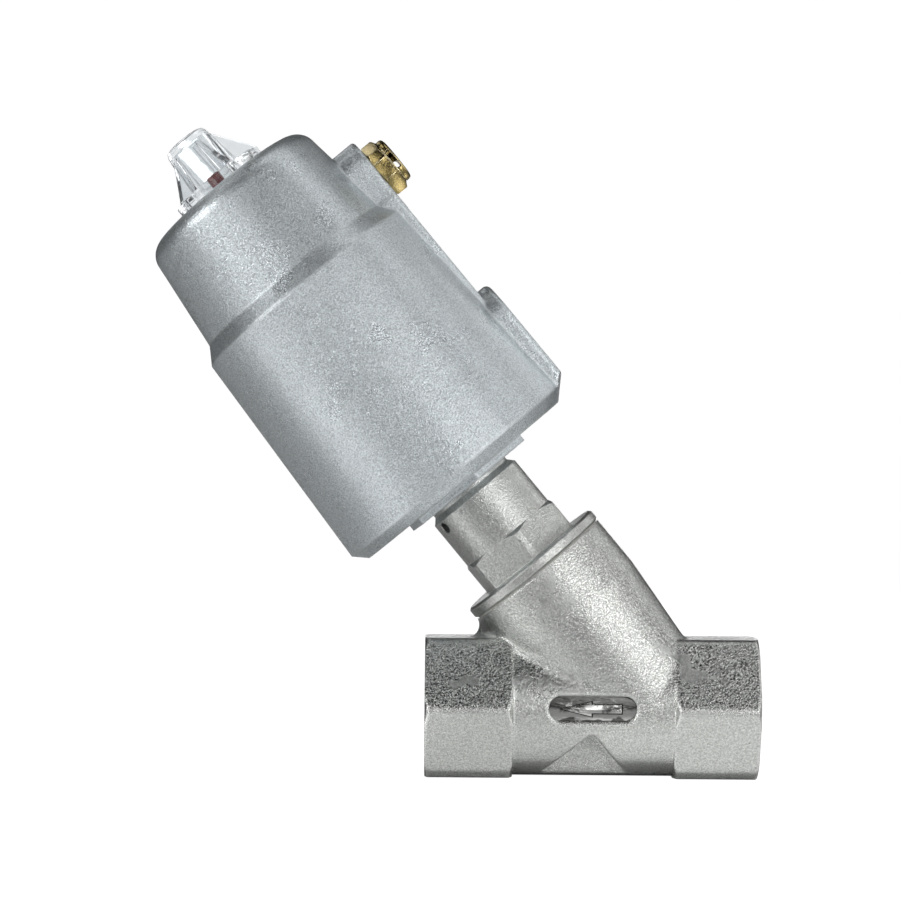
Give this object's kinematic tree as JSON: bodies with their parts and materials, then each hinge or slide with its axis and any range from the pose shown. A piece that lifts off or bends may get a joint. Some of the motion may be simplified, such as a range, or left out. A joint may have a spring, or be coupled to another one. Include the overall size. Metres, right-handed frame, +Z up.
{
  "type": "pneumatic angle seat valve",
  "caption": "Spring-shut angle seat valve with female threaded hexagonal ends, a leaning bonnet, a round piston actuator, a clear position indicator cap and a brass vent silencer.",
  "frame": {"origin": "centre of the inlet port's face, on the pipe axis", "axes": "+X out of the inlet port along the pipe, +Z up on the side the actuator leans over, +Y away from the side with the flow arrow"},
  "size_m": [0.1642, 0.0736, 0.1755],
  "materials": {
    "cast_steel": "investment-cast stainless steel, fine pebbled satin",
    "turned_steel": "turned stainless steel",
    "spring_steel": "drawn spring steel, smooth",
    "silver_coat": "silver coating over a fine-grained casting",
    "machined_aluminium": "turned",
    "seal_white": "waxy white fluoropolymer",
    "seal_black": "moulded rubber",
    "indicator_red": "moulded red plastic",
    "clear_cap": "clear moulded plastic",
    "brass_fitting": "turned brass"
  },
  "bodies": {
    "valve": {"valve_body": "cast_steel", "bonnet": "turned_steel", "bonnet_gasket": "seal_white", "packing_support_ring": "turned_steel", "packing_spring": "spring_steel", "packing_pressure_ring": "turned_steel", "packing_chevron_1": "seal_white", "packing_chevron_2": "seal_white", "packing_chevron_3": "seal_white", "packing_chevron_4": "seal_white", "gland_bush": "brass_fitting", "swivel_washer": "turned_steel", "swivel_circlip": "spring_steel"},
    "head": {"base_cover": "silver_coat", "swivel_o_ring": "seal_black", "cover_o_ring": "seal_black", "housing": "silver_coat", "indicator_cap": "clear_cap", "silencer": "brass_fitting", "silencer_mesh": "brass_fitting"},
    "stem": {"spindle": "turned_steel", "disc_holder": "turned_steel", "disc_seal": "seal_white", "disc_washer": "turned_steel", "disc_nut": "turned_steel", "piston": "machined_aluminium", "piston_seal": "seal_black", "piston_wear_ring": "seal_white", "piston_washer": "turned_steel", "piston_nut": "turned_steel", "outer_spring": "spring_steel", "inner_spring": "spring_steel", "position_pin": "indicator_red"}
  },
  "joints": [
    {"name": "head_swivel", "type": "hinge", "parent": "valve", "child": "head", "pos_m": [-0.0284, 0, 0], "axis": [-0.6428, 0, 0.766], "continuous": true},
    {"name": "stem_lift", "type": "slide", "parent": "valve", "child": "stem", "axis": [-0.6428, 0, 0.766], "range_m": [0, 0.01], "stiffness_N_per_m": 7500, "springref_m": -0.03, "deforming": ["outer_spring", "inner_spring"]}
  ]
}
